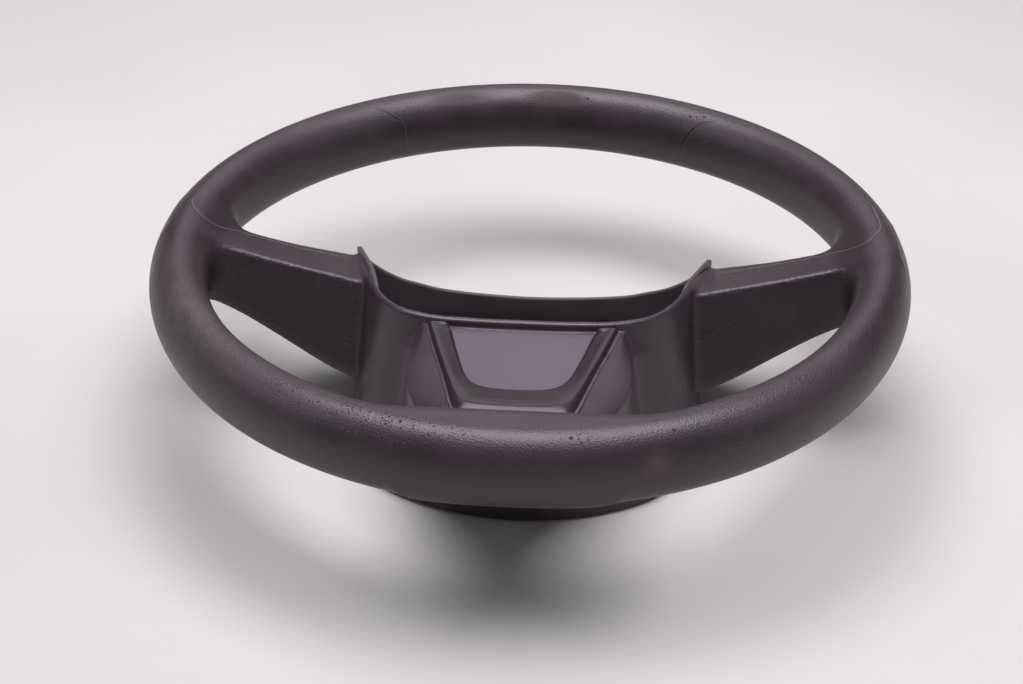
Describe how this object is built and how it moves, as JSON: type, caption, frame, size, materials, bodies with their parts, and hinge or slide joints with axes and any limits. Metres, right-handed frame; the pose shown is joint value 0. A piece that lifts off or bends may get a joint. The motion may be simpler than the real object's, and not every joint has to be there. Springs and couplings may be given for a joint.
{
  "type": "car steering wheel",
  "caption": "Car steering wheel with a thick round rim, two side spokes, a trimmed lower spoke and an open hub pocket with its sprung horn plate; the airbag is removed.",
  "frame": {"origin": "column axis, in the plane that the back of the hub rests on", "axes": "+Z along the column axis towards the driver, +Y towards twelve o'clock, +X to the driver's right"},
  "size_m": [0.37, 0.37, 0.0986],
  "materials": {
    "grip_foam": "soft grained polyurethane skin, worn and stained",
    "cast_alloy": "as-cast, dull",
    "steel": "machined",
    "cover_plastic": "fine spark-eroded texture",
    "black_screws": "black coated",
    "trim_plastic": "smooth satin",
    "insert_plastic": "even satin",
    "spring_steel": "plain",
    "plated_steel": "zinc plated",
    "pale_plastic": "moulded",
    "contact_brass": "plain",
    "guide_plastic": "moulded"
  },
  "bodies": {
    "wheel": {"grip_moulding": "grip_foam", "armature": "cast_alloy", "spline_sleeve": "steel", "rear_cover": "cover_plastic", "rear_cover_screws": "black_screws", "lower_bezel": "trim_plastic", "bezel_screws": "black_screws", "lower_insert": "insert_plastic", "insert_clips": "spring_steel", "horn_screws": "steel", "horn_springs": "spring_steel", "spring_seats": "pale_plastic", "contact_studs": "contact_brass", "earth_terminal": "contact_brass", "earth_screw": "steel", "lead_guide": "guide_plastic"},
    "horn_carrier": {"horn_plate": "plated_steel", "horn_bushes": "pale_plastic", "contact_pads": "contact_brass", "horn_terminal": "contact_brass"}
  },
  "joints": [
    {"name": "horn_press", "type": "slide", "parent": "wheel", "child": "horn_carrier", "axis": [0, 0, -1], "range_m": [0, 0.002], "stiffness_N_per_m": 6000, "springref_m": -0.003, "deforming": ["horn_springs"]}
  ]
}
